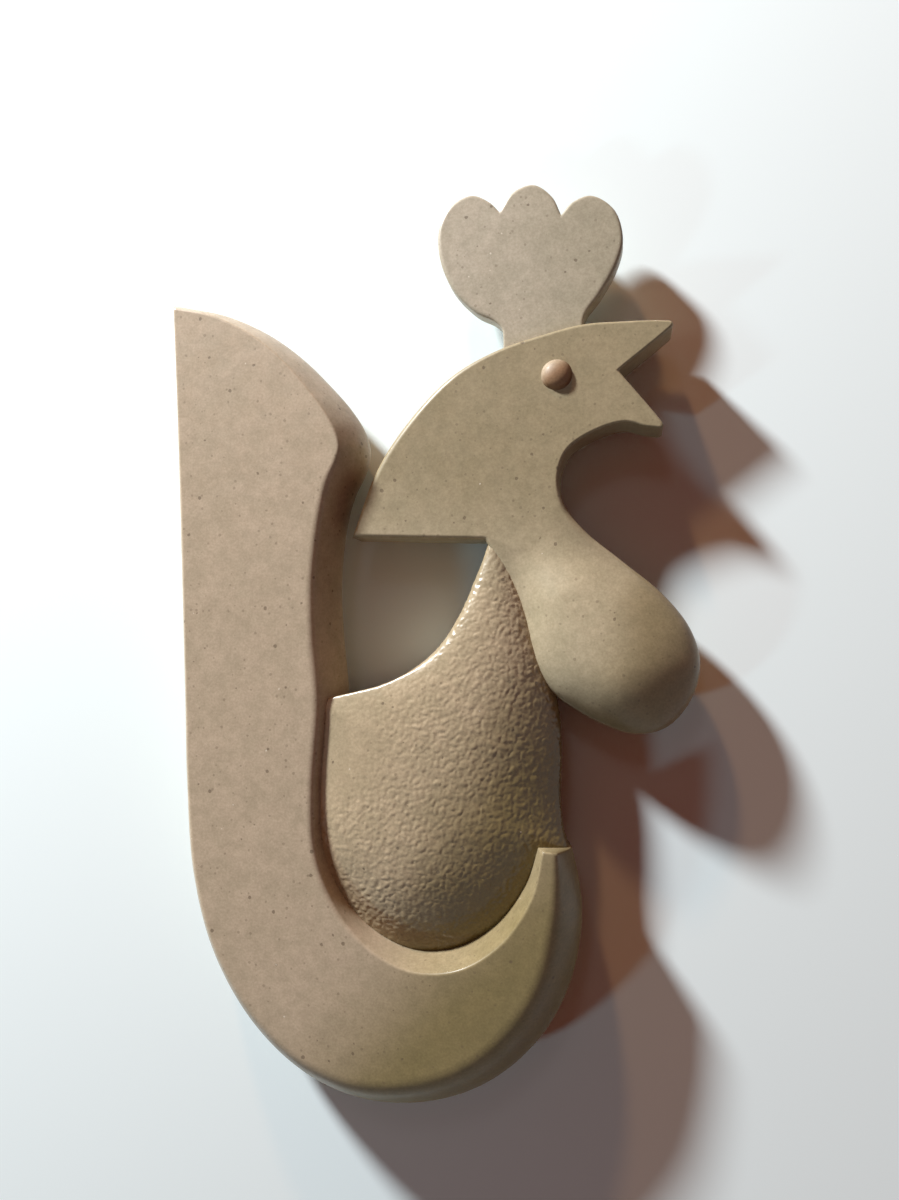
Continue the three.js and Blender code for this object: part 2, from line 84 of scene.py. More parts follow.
BODY_OUTLINE = [
    [
        [*TAIL_TIP, 2.4, 0.3], [-41.8, 23, 3, 0.3], [-38.7, -13.4, 3, 0.3], [-37.6, -26.9, 3, 0.4],
        [-35.4, -42.7, 3.2, 0.5], [-31, -55, 3.6, 0.6], [-24, -64.8, 4, 0.9],
        [-15.5, -71.3, 4.3, 1.2], [-6.5, -74.1, 4.6, 1.6], [3, -73.3, 4.9, 1.9],
        [11.5, -69.8, 4.9, 2], [18.6, -63.3, 4.8, 2], [23.1, -55.4, 4.4, 1.8],
        [25, -46, 4, 1.5], [25.3, -40.6, 3.2, 1.2], [*LIP_OUTER, 1.8, 0.8],
    ],
    [[*LIP_OUTER, -0.3, 0.35], [*LIP_INNER, -0.3, 0.35]],
    [
        [*LIP_INNER, 1.4, 0.35], [21.3, -41.6, 2, 0.35], [16.6, -49.2, 2.3, 0.35],
        [9.8, -53.9, 2.2, 0.35], [2, -54.7, 1.8, 0.35], [-5, -51.7, 1.5, 0.5],
        [-11, -45.6, 1.4, 0.8], [-14.5, -37.6, 1.6, 0.9], [-15.5, -27.1, 2.4, 1],
        [-15.3, -13, 3.2, 1], [-16.7, -2, 3.2, 1], [-17.2, 8, 2.8, 1],
        [-16.4, 18.6, 2.6, 1], [-15.3, 24.4, 3, 0.9], [-14, 27.9, 3.3, 0.6],
        [*TAIL_HEEL, 3.5, 0.4], [-14.3, 32.6, 3.6, 0.35], [-16.4, 36.2, 3.3, 0.3],
        [-19.9, 40.5, 2.9, 0.3], [-24.6, 45.4, 2.5, 0.3], [-30.5, 49.9, 2.2, 0.3],
        [-37.8, 53.3, 2.1, 0.3], [*TAIL_TIP, 2.2, 0.3],
    ],
]

# A point of the head is [x, y, share of the rounded wattle, size of the rounded edge].
HEAD_REAR = [-11.8, 15.4]
NAPE = [11.2, 15.4]
BEAK_TIP = [40.7, 51.2]
MOUTH = [32.2, 43.5]
JAW_TIP = [39.6, 34.2]
THROAT_TOP = [33.6, 34.9]
BROW = [33, 51.7]
COMB_FRONT = [26.3, 51.4]

TIP_RADIUS = 0.55
TIP_EDGE = 0.4
# Distances from a rounded tip at which its flanks are pinned
TIP_LEADS = (2.4, 0.8)


def round_tip(before, tip, after):
    """Outline points that lead to a tip, round it and away from it again."""
    before, tip, after = Vector(before), Vector(tip), Vector(after)
    arrive = (tip - before).normalized()
    leave = (after - tip).normalized()
    centre = tip + (leave - arrive).normalized() * TIP_RADIUS
    first = centre + Vector((arrive.y, -arrive.x)) * TIP_RADIUS
    last = centre + Vector((leave.y, -leave.x)) * TIP_RADIUS
    toward = [first - lead * arrive for lead in TIP_LEADS]
    away = [last + lead * leave for lead in reversed(TIP_LEADS)]
    return [[*place, 0, TIP_EDGE] for place in (*toward, first, tip, last, *away)]


HEAD_OUTLINE = [
    [[*HEAD_REAR, 0, 0.7], [*NAPE, 0, 0.7]],
    [
        [*NAPE, 0, 0.7], [13.3, 11.7, 0.1, 0.9], [15.3, 7.3, 0.42, 1.2], [17.2, 2.3, 0.8, 1.2],
        [18.4, -2.4, 1, 1.2], [19.9, -6.1, 1, 1.2], [22.7, -9.4, 1, 1.2], [26.8, -12, 1, 1.2],
        [31.5, -14.3, 1, 1.2], [36.6, -15.6, 1, 1.2], [41.5, -14.3, 1, 1.2], [45.1, -10, 1, 1.2],
        [46.6, -4, 1, 1.2], [45, 1.6, 1, 1.2], [40.4, 7.3, 0.96, 1.2], [33.6, 12.6, 0.6, 1.2],
        [27.6, 17.2, 0.16, 1], [24.1, 21.4, 0.03, 0.7], [23, 26, 0, 0.5],
        [24.4, 30.4, 0, 0.5], [28.8, 33.5, 0, 0.5],
        [*THROAT_TOP, 0, 0.5], *round_tip(THROAT_TOP, JAW_TIP, MOUTH), [*MOUTH, 0, 0.4],
    ],
    [
        [*MOUTH, 0, 0.4], *round_tip(MOUTH, BEAK_TIP, BROW), [*BROW, 0, 0.5],
        [*COMB_FRONT, 0, 0.6], [19.7, 49.8, 0, 0.6], [11.5, 47.1, 0, 0.7], [4.4, 43, 0, 0.9],
        [-2.4, 35.9, 0, 1.1], [-7.8, 27.4, 0, 1.1], [*HEAD_REAR, 0, 0.9],
    ],
]

# A point of a core line is [x, y, half thickness].
WATTLE_CORE = [
    [19.2, 18.5, HEAD_HALF],
    [20.2, 14.8, WATTLE_HALF * 0.57],
    [21.8, 11, WATTLE_HALF * 0.7],
    [25.4, 4.6, WATTLE_HALF * 0.88],
    [29.4, -1, WATTLE_HALF * 0.97],
    [33.2, -5.4, WATTLE_HALF],
]

# A point of the breast is [x, y, half height of its side wall].
BREAST_OUTLINE = [
    [
        [-17, -12.8, 5], [-17.4, -24, 4.9], [-17, -33, 4.5], [-15, -41.5, 3.5], [-11, -48, 2],
        [-5.5, -52.6, 1], [1.5, -54.4, 0.5], [8, -53.4, 0.3], [14, -50.4, 0.3],
        [19, -46.2, 0.3], [22.4, -41.4, 0.4], [25, -37.6, 0.7], [26.3, -34.9, 0.9],
        [25.5, -31.6, 1], [24.9, -27, 1], [24.8, -20, 1], [24.2, -13, 1],
        [22.6, -6, 1.1], [20.2, 1.4, 1.4], [17.4, 8.2, 2], [14.3, 13.8, 2.6], [11.8, 17.4, 3.2],
    ],
    [
        [11.8, 17.4, 3.2], [11.2, 13.6, 3.4], [9.5, 8.3, 4.1], [7.5, 2.9, 4.8], [4.3, -2.6, 5.4],
        [0, -6.7, 5.8], [-4.5, -9.2, 5.8], [-10, -10.9, 5.6], [-13, -11.7, 5.3],
        [-17, -12.8, 5],
    ],
]

BREAST_CORE = [
    [12.9, 11.8, BREAST_HALF * 0.52],
    [11.2, 3.5, BREAST_HALF * 0.72],
    [8.6, -5, BREAST_HALF * 0.88],
    [5.4, -13.5, BREAST_HALF * 0.97],
    [2.4, -22, BREAST_HALF],
    [0, -31, BREAST_HALF * 0.96],
]

# A point of the comb is [x, y, swell, size of the rounded edge].
NOTCH_REAR = [11.4, 71.9]
NOTCH_FRONT = [21.9, 70.9]
STEM_REAR = [12.9, 46.4]
STEM_FRONT = [26.2, 49.4]

COMB_OUTLINE = [
    [[*STEM_REAR, 0, 0.5], [*STEM_FRONT, 0, 0.5]],
    [
        [*STEM_FRONT, 0, 0.5], [26.4, 53.3, 0, 0.6], [28.9, 57, 0, 0.9], [31.3, 61.6, 0, 0.9],
        [32.3, 66.3, 0, 0.7], [30.7, 71.4, 0, 0.6], [26.8, 74, 0, 0.6], [23.7, 73, 0, 0.6],
        [*NOTCH_FRONT, 0, 0.5],
    ],
    [
        [*NOTCH_FRONT, 0, 0.5], [20.2, 74.2, 0, 0.6], [17, 76.4, 0, 0.6], [13.5, 75.2, 0, 0.6],
        [*NOTCH_REAR, 0, 0.5],
    ],
    [
        [*NOTCH_REAR, 0, 0.5], [9.5, 73.8, 0, 0.6], [6.4, 75.1, 0, 0.6], [3, 73.5, 0, 0.6],
        [1, 70, 0, 0.7], [1.1, 64.8, 0, 0.8], [3.6, 58.9, 0, 0.9], [8, 54.5, 0, 0.8],
        [11.2, 52.9, 0, 0.6], [12.5, 51.6, 0, 0.5], [12.8, 50.2, 0, 0.4], [*STEM_REAR, 0, 0.4],
    ],
]

EYE_AT = (22.2, 42.9)
EYE_RADIUS = 2.3
EYE_RISE = 1.3

CURVE_SAMPLES = 40
STRAIGHT_SAMPLES = 60
LEAST_GAP = 1e-6


def curve_span(p0, p1, p2, p3):
    """One span of a centripetal Catmull-Rom curve."""
    def gap(a, b):
        return max(np.linalg.norm(a[:3] - b[:3]) ** 0.5, LEAST_GAP)
    t1 = gap(p0, p1)
    t2 = t1 + gap(p1, p2)
    t3 = t2 + gap(p2, p3)
    t = np.linspace(t1, t2, CURVE_SAMPLES + 1)[:, None]
    a1 = (t1 - t) / t1 * p0 + t / t1 * p1
    a2 = (t2 - t) / (t2 - t1) * p1 + (t - t1) / (t2 - t1) * p2
    a3 = (t3 - t) / (t3 - t2) * p2 + (t - t2) / (t3 - t2) * p3
    b1 = (t2 - t) / t2 * a1 + t / t2 * a2
    b2 = (t3 - t) / (t3 - t1) * a2 + (t - t1) / (t3 - t1) * a3
    return (t2 - t) / (t2 - t1) * b1 + (t - t1) / (t2 - t1) * b2


def dense_curve(points):
    """Close samples of a centripetal curve through the points, extra columns included."""
    knots = np.array([list(p) + [0.0] * (4 - len(p)) for p in points], float)
    if len(knots) == 2:
        return knots[0] + (knots[1] - knots[0]) * np.linspace(0, 1, STRAIGHT_SAMPLES)[:, None]
    first = 2 * knots[0] - knots[1]
    last = 2 * knots[-1] - knots[-2]
    padded = np.vstack([first, knots, last])
    spans = [curve_span(*padded[i - 1:i + 3])[:-1] for i in range(1, len(padded) - 2)]
    return np.vstack([*spans, padded[-2][None]])


def even_samples(curve, spacing, room_start=0.0, room_end=0.0):
    """Samples at even steps along a curve, kept clear of both of its ends by the rooms given."""
    steps = np.hypot(*np.diff(curve[:, :2], axis=0).T)
    way = np.concatenate([[0], np.cumsum(steps)])
    low = max(room_start, spacing)
    high = way[-1] - max(room_end, spacing)
    count = max(1, int(math.ceil((high - low) / spacing)))
    at = np.concatenate([[0], np.linspace(low, high, count + 1), [way[-1]]])
    return np.stack([np.interp(at, way, curve[:, c]) for c in range(curve.shape[1])], axis=1)


def outward(direction):
    return np.array([direction[1], -direction[0]])


def corner_shift(n, m, before, after):
    """Where a corner goes when its two edges move outward by their own amounts."""
    cross = n[0] * m[1] - n[1] * m[0]
    return np.array([before * m[1] - after * n[1], after * n[0] - before * m[0]]) / cross


def unit(v):
    return v / np.linalg.norm(v)


# Sine of the turn from which two edges meet in a true corner
CORNER_BEND = 0.25
# Room that the samples leave at a corner, as a share of how far its moved rings shift
ROOM_SHARE = 1.12


class Outline:
    """Closed line of samples, with outward directions and extra columns before and after each."""

    def __init__(self, edges, spacing, offsets):
        curves = [dense_curve(edge) for edge in edges]
        rooms = [[0.0, 0.0] for _ in edges]
        for i, curve in enumerate(curves):
            last = curves[i - 1]
            arrive = unit(last[-1, :2] - last[-3, :2])
            leave = unit(curve[2, :2] - curve[0, :2])
            if abs(arrive[0] * leave[1] - arrive[1] * leave[0]) < CORNER_BEND:
                continue
            for before, after in zip(offsets(last[-1, 2:]), offsets(curve[0, 2:])):
                shift = corner_shift(outward(arrive), outward(leave), before, after)
                rooms[i - 1][1] = max(rooms[i - 1][1], -ROOM_SHARE * shift.dot(arrive))
                rooms[i][0] = max(rooms[i][0], ROOM_SHARE * shift.dot(leave))
        runs = [even_samples(curve, spacing, *room) for curve, room in zip(curves, rooms)]
        self.xy = np.vstack([run[:-1, :2] for run in runs])
        self.after = np.vstack([run[:-1, 2:] for run in runs])
        self.before = self.after.copy()
        start = 0
        for i, run in enumerate(runs):
            self.before[start] = runs[i - 1][-1, 2:]
            start += len(run) - 1
        step = np.roll(self.xy, -1, axis=0) - self.xy
        step /= np.linalg.norm(step, axis=1)[:, None]
        self.next_out = np.stack([step[:, 1], -step[:, 0]], axis=1)
        self.last_out = np.roll(self.next_out, 1, axis=0)

    def moved(self, before, after):
        """The outline moved outward by one amount per sample, with true corners."""
        n, m = self.last_out, self.next_out
        cross = n[:, 0] * m[:, 1] - n[:, 1] * m[:, 0]
        mean = n + m
        mean /= np.linalg.norm(mean, axis=1)[:, None]
        smooth = self.xy + mean * ((before + after) / 2)[:, None]
        bent = np.abs(cross) > CORNER_BEND
        safe = np.where(bent, cross, 1.0)
        dx = (before * m[:, 1] - after * n[:, 1]) / safe
        dy = (after * n[:, 0] - before * m[:, 0]) / safe
        corner = self.xy + np.stack([dx, dy], axis=1)
        return np.where(bent[:, None], corner, smooth)


def loft(name, rings, cap):
    """Closed mesh of rings that run from the back to the front, each an array of x, y, z."""
    count = len(rings[0])
    points = np.clip((np.vstack(rings) + SHIFT) * MM, CAD_LOW, CAD_HIGH)
    grid = np.arange(count)
    following = (grid + 1) % count
    quads = []
    for r in range(len(rings) - 1):
        a = r * count
        b = a + count
        quads.append(np.stack([a + grid, a + following, b + following, b + grid], axis=1))
    faces = [tuple(q) for q in np.vstack(quads).tolist()]
    top = (len(rings) - 1) * count
    for face in cap:
        faces.append(tuple(reversed(face)))
        faces.append(tuple(top + i for i in face))
    mesh = bpy.data.meshes.new(name)
    mesh.from_pydata(points.tolist(), [], faces)
    mesh.validate()
    mesh.shade_smooth()
    piece = bpy.data.objects.new(name, mesh)
    bpy.context.scene.collection.objects.link(piece)
    return piece


def mirrored(levels):
    """Full stack of rings from the levels of one side, which start on the middle plane."""
    flip = np.array([1, 1, -1])
    back = [ring * flip for ring in reversed(levels)]
    return back + levels[1:]


WALL_STEPS = 9
ROUND_STEPS = 7
# Height of a rounded edge as a share of its width
EDGE_HEIGHT = 0.8
# Width of the narrow flat ring inside a rounded edge
RIM_STEP = 0.06


def slab_levels(outline, half, power):
    """Levels of a slab: a wall that swells to the middle plane, a rounded edge, a flat face."""
    swell_b, swell_a = outline.before[:, 0], outline.after[:, 0]
    edge_b, edge_a = outline.before[:, 1], outline.after[:, 1]
    edge = (edge_b + edge_a) / 2
    foot = half - EDGE_HEIGHT * edge
    levels = []
    for k in range(WALL_STEPS):
        height = foot * (k / WALL_STEPS)
        share = 1 - (height / half) ** power
        xy = outline.moved(swell_b * share, swell_a * share)
        levels.append(np.column_stack([xy, height]))
    share = 1 - (foot / half) ** power
    low_xy = outline.moved(swell_b * share, swell_a * share)
    edge_xy = outline.moved(0 * edge_b, 0 * edge_a)
    face_xy = outline.moved(-edge_b, -edge_a)
    for k in range(ROUND_STEPS + 1):
        t = k / ROUND_STEPS
        xy = low_xy * (1 - t) ** 2 + edge_xy * (2 * t * (1 - t)) + face_xy * t ** 2
        height = foot * (1 - t) ** 2 + half * (1 - (1 - t) ** 2)
        levels.append(np.column_stack([xy, height]))
    rim_xy = outline.moved(-edge_b - RIM_STEP, -edge_a - RIM_STEP)
    levels.append(np.column_stack([rim_xy, np.full(len(edge), half)]))
    return levels


def make_slab(name, edges, half, power, spacing):
    outline = Outline(edges, spacing, lambda row: (row[0], -row[1] - RIM_STEP))
    rings = mirrored(slab_levels(outline, half, power))
    return loft(name, rings, [tuple(range(len(outline.xy)))])


# Spacing of the samples of a core line, and how often the feet on it are evened out
CORE_STEP = 0.15
FOOT_PASSES = 300


def core_feet(core, xy):
    """For each outline sample its place on a core line: x, y, half thickness, share of length."""
    line = even_samples(dense_curve(core), CORE_STEP)
    share = np.linspace(0, 1, len(line))
    gaps = np.linalg.norm(xy[:, None, :] - line[None, :, :2], axis=2)
    near = gaps.argmin(axis=1)
    feet = np.column_stack([line[near, :3], share[near]])
    for _ in range(FOOT_PASSES):
        feet = (np.roll(feet, 1, axis=0) + 2 * feet + np.roll(feet, -1, axis=0)) / 4
    return feet


def zip_cap(feet, flat):
    """Faces that close the innermost ring along its core line, and one face for the flat rest."""
    count = len(feet)
    left = int(feet[:, 3].argmax())
    right = (left + 1) % count
    faces = []
    while not (flat[left] and flat[right]):
        next_left = (left - 1) % count
        next_right = (right + 1) % count
        if next_left == next_right:
            faces.append((left, right, next_right))
            return faces
        if flat[right] or (not flat[left] and feet[next_left, 3] >= feet[next_right, 3]):
            faces.append((next_left, left, right))
            left = next_left
        else:
            faces.append((left, right, next_right))
            right = next_right
    rest = [right]
    while rest[-1] != left:
        rest.append((rest[-1] + 1) % count)
    faces.append(tuple(rest))
    return faces


# Where the innermost ring lies between the core line at 0 and the outline at 1
INNERMOST = 0.02
# A power above 1 crowds the rings toward the outline
REACH_POWER = 1.35


def ring_reach(k, steps):
    """Place of a ring between the core line at 0 and the outline at 1."""
    return 1 - (1 - INNERMOST) * (k / steps) ** REACH_POWER


def pillow_levels(outline, feet, rim, rise, steps):
    """Levels of a rounded form from its outline up a side wall and over to its core line."""
    levels = [np.column_stack([outline.xy, np.zeros(len(feet))])]
    for k in range(steps + 1):
        reach = ring_reach(k, steps)
        xy = feet[:, :2] + (outline.xy - feet[:, :2]) * reach
        levels.append(np.column_stack([xy, rim + (feet[:, 2] - rim) * rise(reach)]))
    return levels


# The higher this power, the steeper and narrower the side of a rounded form
SIDE_STEEPNESS = 18


def domed_rise(reach, dome, fullness):
    """Height of a rounded form as a share of its full height: a dome on a steep side."""
    side = np.sqrt(np.clip(1 - reach ** SIDE_STEEPNESS, 0, 1))
    return dome * (1 - reach ** fullness) + (1 - dome) * side


def smooth_step(a, b, x):
    t = np.clip((x - a) / (b - a), 0, 1)
    return t * t * (3 - 2 * t)


def read_vectors(mesh, field):
    values = np.empty(len(mesh.vertices) * 3)
    mesh.vertices.foreach_get(field, values)
    return values.reshape(-1, 3)


def write_points(mesh, points):
    mesh.vertices.foreach_set("co", points.ravel())
    mesh.update()


def remeshed(piece, cell):
    """The same closed form on an even grid of small faces."""
    change = piece.modifiers.new("even", "REMESH")
    change.mode = "VOXEL"
    change.voxel_size = cell * MM
    change.adaptivity = 0.0
    graph = bpy.context.evaluated_depsgraph_get()
    mesh = bpy.data.meshes.new_from_object(piece.evaluated_get(graph))
    piece.modifiers.clear()
    piece.data = mesh
    mesh.shade_smooth()
    return mesh


def relaxed(mesh, points, weight, passes):
    """Points drawn toward the mean of their neighbours, each by its own weight."""
    ends = np.empty(len(mesh.edges) * 2, int)
    mesh.edges.foreach_get("vertices", ends)
    a, b = ends[0::2], ends[1::2]
    count = np.bincount(ends, minlength=len(points))[:, None]
    into, other = np.concatenate([a, b]), np.concatenate([b, a])
    for _ in range(passes):
        total = [np.bincount(into, points[other, axis], len(points)) for axis in range(3)]
        points = points + (np.stack(total, axis=1) / count - points) * weight
    return points


# Spacing of the outline samples of both rounded forms
ROUND_FORM_STEP = 0.4

BREAST_CELL = 0.2
BREAST_RINGS = 44
BREAST_FULLNESS = 2.3
# Share of the height that is a steep side, more of it where the rim is low
BREAST_SIDE = 0.03
BREAST_SIDE_MORE = 0.05
LOW_RIM = 1.0
HIGH_RIM = 4.0

# The crest along the core line is rounded off more than the rest
RELAX_WEIGHT = 0.5
SURFACE_PASSES = 5
CREST_PASSES = 150
CREST_STEP = 1.0
CREST_REACH = 9.0
CREST_FULL = 0.4

# Pebbly grain: bent, rounded cells between creases, on softer lumps
GRAIN_DEPTH = 0.13
GRAIN_PITCH = 1.25
GRAIN_BEND = 0.35
# Fixes the pattern by which the cells are bent, so that each run gives the same grain
GRAIN_SEED = 1
BEND_SCALE = 0.9
CREASE_SHARPNESS = 3.0
PEBBLE_SHARE = 0.6
LUMP_SHARE = 0.55
LUMP_SCALE = 1.6

# The grain fades out along a slanted, slightly wavy line toward the smooth upper left rim
FADE_AT = (-13.5, -8.0)
FADE_SLOPE = (0.6, 0.24)
FADE_LEAST = 0.1
FADE_START = 2.0
FADE_END = 13.0
FADE_WAVE = 2.0
FADE_WAVE_SCALE = 0.35


def grain_height(p):
    """Height of the grain at a point in millimetres, from 0 to about 1."""
    q = Vector(p)
    q = q + noise.noise_vector(q * BEND_SCALE) * GRAIN_BEND
    near, _ = noise.voronoi(q / GRAIN_PITCH)
    pebble = 1 - math.exp(-CREASE_SHARPNESS * (near[1] - near[0]))
    return PEBBLE_SHARE * pebble + LUMP_SHARE * noise.noise(q * LUMP_SCALE)


def grain_share(drawn):
    """Share of the full grain at points of the drawing."""
    x, y = drawn[:, 0], drawn[:, 1]
    along = (x - FADE_AT[0]) * FADE_SLOPE[0] + (FADE_AT[1] - y) * FADE_SLOPE[1]
    along = along + FADE_WAVE * np.sin(y * FADE_WAVE_SCALE)
    return FADE_LEAST + (1 - FADE_LEAST) * smooth_step(FADE_START, FADE_END, along)


def make_breast():
    outline = Outline(BREAST_OUTLINE, ROUND_FORM_STEP, lambda row: (0.0,))
    feet = core_feet(BREAST_CORE, outline.xy)
    rim = (outline.before[:, 0] + outline.after[:, 0]) / 2
    dome = 1 - BREAST_SIDE - BREAST_SIDE_MORE * (1 - smooth_step(LOW_RIM, HIGH_RIM, rim))

    def rise(reach):
        return domed_rise(reach, dome, BREAST_FULLNESS)

    levels = pillow_levels(outline, feet, rim, rise, BREAST_RINGS)
    piece = loft("breast_body", mirrored(levels), zip_cap(feet, np.zeros(len(feet), bool)))
    mesh = remeshed(piece, BREAST_CELL)
    points = relaxed(mesh, read_vectors(mesh, "co"), RELAX_WEIGHT, SURFACE_PASSES)
    drawn = points / MM - SHIFT
    line = even_samples(dense_curve(BREAST_CORE), CREST_STEP)[:, :2]
    gaps = np.min([np.hypot(*(drawn[:, :2] - at).T) for at in line], axis=0)
    crest = smooth_step(CREST_REACH, CREST_REACH * CREST_FULL, gaps)
    points = relaxed(mesh, points, RELAX_WEIGHT * crest[:, None], CREST_PASSES)
    write_points(mesh, points)
    noise.seed_set(GRAIN_SEED)
    heights = np.array([grain_height(p) for p in drawn.tolist()])
    relief = heights * grain_share(drawn) * GRAIN_DEPTH * MM
    write_points(mesh, points + read_vectors(mesh, "normal") * relief[:, None])
    return piece


HEAD_RINGS = 34
HEAD_ROUND_RINGS = 9
# Inset of each ring on the flat face, and the room that all of them need
HEAD_RING_STEP = 0.004
HEAD_RING_ROOM = 0.15
WATTLE_RIM = 0.05
WATTLE_FULLNESS = 2.0
WATTLE_DOME = 0.72
# Share of the rounded wattle above which a ring closes on the core line
CLOSING_SHARE = 0.08
# Share of the core line's length over which the wattle grows out of the flat face
GROWING_SHARE = 0.5


def make_head():
    outline = Outline(HEAD_OUTLINE, ROUND_FORM_STEP, lambda row: (-row[1] - HEAD_RING_ROOM,))
    share = np.clip(outline.after[:, 0], 0, 1)
    edge = (outline.before[:, 1] + outline.after[:, 1]) / 2
    feet = core_feet(WATTLE_CORE, outline.xy)
    closing = np.clip(share / CLOSING_SHARE, 0, 1)[:, None]
    core_share = smooth_step(0.0, GROWING_SHARE, feet[:, 3])
    levels = [np.column_stack([outline.xy, np.zeros(len(feet))])]
    for k in range(HEAD_RINGS + 1):
        turn = min(k / HEAD_ROUND_RINGS, 1) * math.pi / 2
        extra = max(k - HEAD_ROUND_RINGS, 0) * HEAD_RING_STEP
        inset = edge * (1 - math.cos(turn)) + extra
        flat_xy = outline.moved(-inset, -inset)
        flat_z = HEAD_HALF - edge * (1 - math.sin(turn))
        reach = ring_reach(k, HEAD_RINGS)
        round_xy = feet[:, :2] + (outline.xy - feet[:, :2]) * reach
        height = domed_rise(reach, WATTLE_DOME, WATTLE_FULLNESS)
        round_z = WATTLE_RIM + (feet[:, 2] - WATTLE_RIM) * height
        xy = flat_xy * (1 - closing) + round_xy * closing
        near = reach * reach
        part = share * near + core_share * (1 - near)
        part = part * closing[:, 0] + share * (1 - closing[:, 0])
        z = flat_z * (1 - part) + round_z * part
        levels.append(np.column_stack([xy, z]))
    cap = zip_cap(feet, share < CLOSING_SHARE)
    return loft("head_wattle", mirrored(levels), cap)


def make_turned(name, profile, segments, centre, side):
    """Round form from a profile of radius and height, on the side of the middle plane given."""
    rings = []
    angles = np.linspace(0, 2 * math.pi, segments, endpoint=False)
    for radius, height in profile:
        x = centre[0] + radius * np.cos(angles) * side
        y = centre[1] + radius * np.sin(angles)
        rings.append(np.column_stack([x, y, np.full(segments, side * height)]))
    return loft(name, rings, [tuple(range(segments))])


EYE_RINGS = 14
EYE_SEGMENTS = 64
# The root sits in the head, the foot flares a little into its face, then comes a short band
EYE_ROOT_DEPTH = 0.4
EYE_ROOT_SHARE = 0.9
EYE_FOOT_DEPTH = 0.03
EYE_FOOT_FLARE = 0.35
EYE_BAND = 0.12
EYE_CROWN = 0.02


def eye_profile():
    """Radius and height of the eye stud from its root up to its crown."""
    profile = [
        (EYE_RADIUS * EYE_ROOT_SHARE, HEAD_HALF - EYE_ROOT_DEPTH),
        (EYE_RADIUS + EYE_FOOT_FLARE, HEAD_HALF - EYE_FOOT_DEPTH),
    ]
    for k in range(EYE_RINGS):
        turn = math.pi / 2 * k / EYE_RINGS
        height = HEAD_HALF + EYE_BAND + (EYE_RISE - EYE_BAND) * math.sin(turn)
        profile.append((EYE_RADIUS * math.cos(turn), height))
    profile.append((EYE_CROWN, HEAD_HALF + EYE_RISE))
    return profile


# Materials

# How fine and how wide the ragged outline of a speck is against its cell, and how soft its edge
RAGGED_SCALE = 4.0
RAGGED_WIDTH = 0.16
SPECK_SOFTNESS = 0.6


class Nodes:
    """Shorthand for building one node material."""

    def __init__(self, name):
        self.material = bpy.data.materials.new(name)
        self.material.use_nodes = True
        self.tree = self.material.node_tree
        self.shader = self.tree.nodes["Principled BSDF"]
        self.place = self.tree.nodes.new("ShaderNodeTexCoord").outputs["Object"]

    def add(self, kind, settings=None, **inputs):
        node = self.tree.nodes.new(kind)
        for key, value in (settings or {}).items():
            setattr(node, key, value)
        for key, value in inputs.items():
            self.feed(node.inputs[key.replace("_", " ")], value)
        return node

    def feed(self, socket, value):
        if isinstance(value, bpy.types.NodeSocket):
            self.tree.links.new(value, socket)
        else:
            socket.default_value = value

    def math(self, operation, a, b=0.0):
        node = self.tree.nodes.new("ShaderNodeMath")
        node.operation = operation
        self.feed(node.inputs[0], a)
        self.feed(node.inputs[1], b)
        return node.outputs[0]

    def ramp(self, value, low, high, to_low=0.0, to_high=1.0):
        node = self.tree.nodes.new("ShaderNodeMapRange")
        node.interpolation_type = "SMOOTHSTEP"
        self.feed(node.inputs["Value"], value)
        node.inputs["From Min"].default_value = low
        node.inputs["From Max"].default_value = high
        node.inputs["To Min"].default_value = to_low
        node.inputs["To Max"].default_value = to_high
        return node.outputs["Result"]

    def noise(self, scale, detail=3.0, rough=0.55):
        node = self.add(
            "ShaderNodeTexNoise", Vector=self.place, Scale=scale, Detail=detail, Roughness=rough)
        return node.outputs["Fac"]

    def mix(self, factor, a, b, blend="MIX"):
        node = self.tree.nodes.new("ShaderNodeMix")
        node.data_type = "RGBA"
        node.blend_type = blend
        # The colour sockets of this node come after those for numbers and directions
        self.feed(node.inputs[0], factor)
        self.feed(node.inputs[6], a)
        self.feed(node.inputs[7], b)
        return node.outputs[2]

    def specks(self, scale, share, size_low, size_high):
        """Mask of ragged specks: only a share of the cells holds one, of a size between two."""
        ragged = self.add(
            "ShaderNodeTexNoise", Vector=self.place, Scale=scale * RAGGED_SCALE, Detail=2.0)
        offset = self.add("ShaderNodeVectorMath", {"operation": "MULTIPLY_ADD"})
        self.feed(offset.inputs[0], ragged.outputs["Color"])
        offset.inputs[1].default_value = (RAGGED_WIDTH / scale,) * 3
        self.feed(offset.inputs[2], self.place)
        cell = self.add(
            "ShaderNodeTexVoronoi", {"feature": "F1"}, Vector=offset.outputs[0], Scale=scale)
        tint = self.add("ShaderNodeSeparateColor", Color=cell.outputs["Color"])
        chosen = self.math("LESS_THAN", tint.outputs[0], share)
        radius = self.ramp(tint.outputs[1], 0.0, 1.0, size_low, size_high)
        inside = self.math("SUBTRACT", radius, cell.outputs["Distance"])
        soft = self.ramp(inside, 0.0, size_low * SPECK_SOFTNESS)
        return self.math("MULTIPLY", soft, chosen)


# Each layer of mottling is its scale and detail, the span of the noise that it uses,
# and the two tones that the stone is multiplied by at the ends of that span
MOTTLING = (
    (300.0, 3.0, 0.32, 0.68, (0.93, 0.935, 0.92, 1.0), (1.05, 1.045, 1.05, 1.0)),
    (850.0, 3.0, 0.30, 0.70, (0.94, 0.935, 0.93, 1.0), (1.05, 1.05, 1.055, 1.0)),
    (2600.0, 2.0, 0.25, 0.75, (0.90, 0.89, 0.87, 1.0), (1.08, 1.08, 1.08, 1.0)),
)
MOTTLING_ROUGHNESS = 0.6
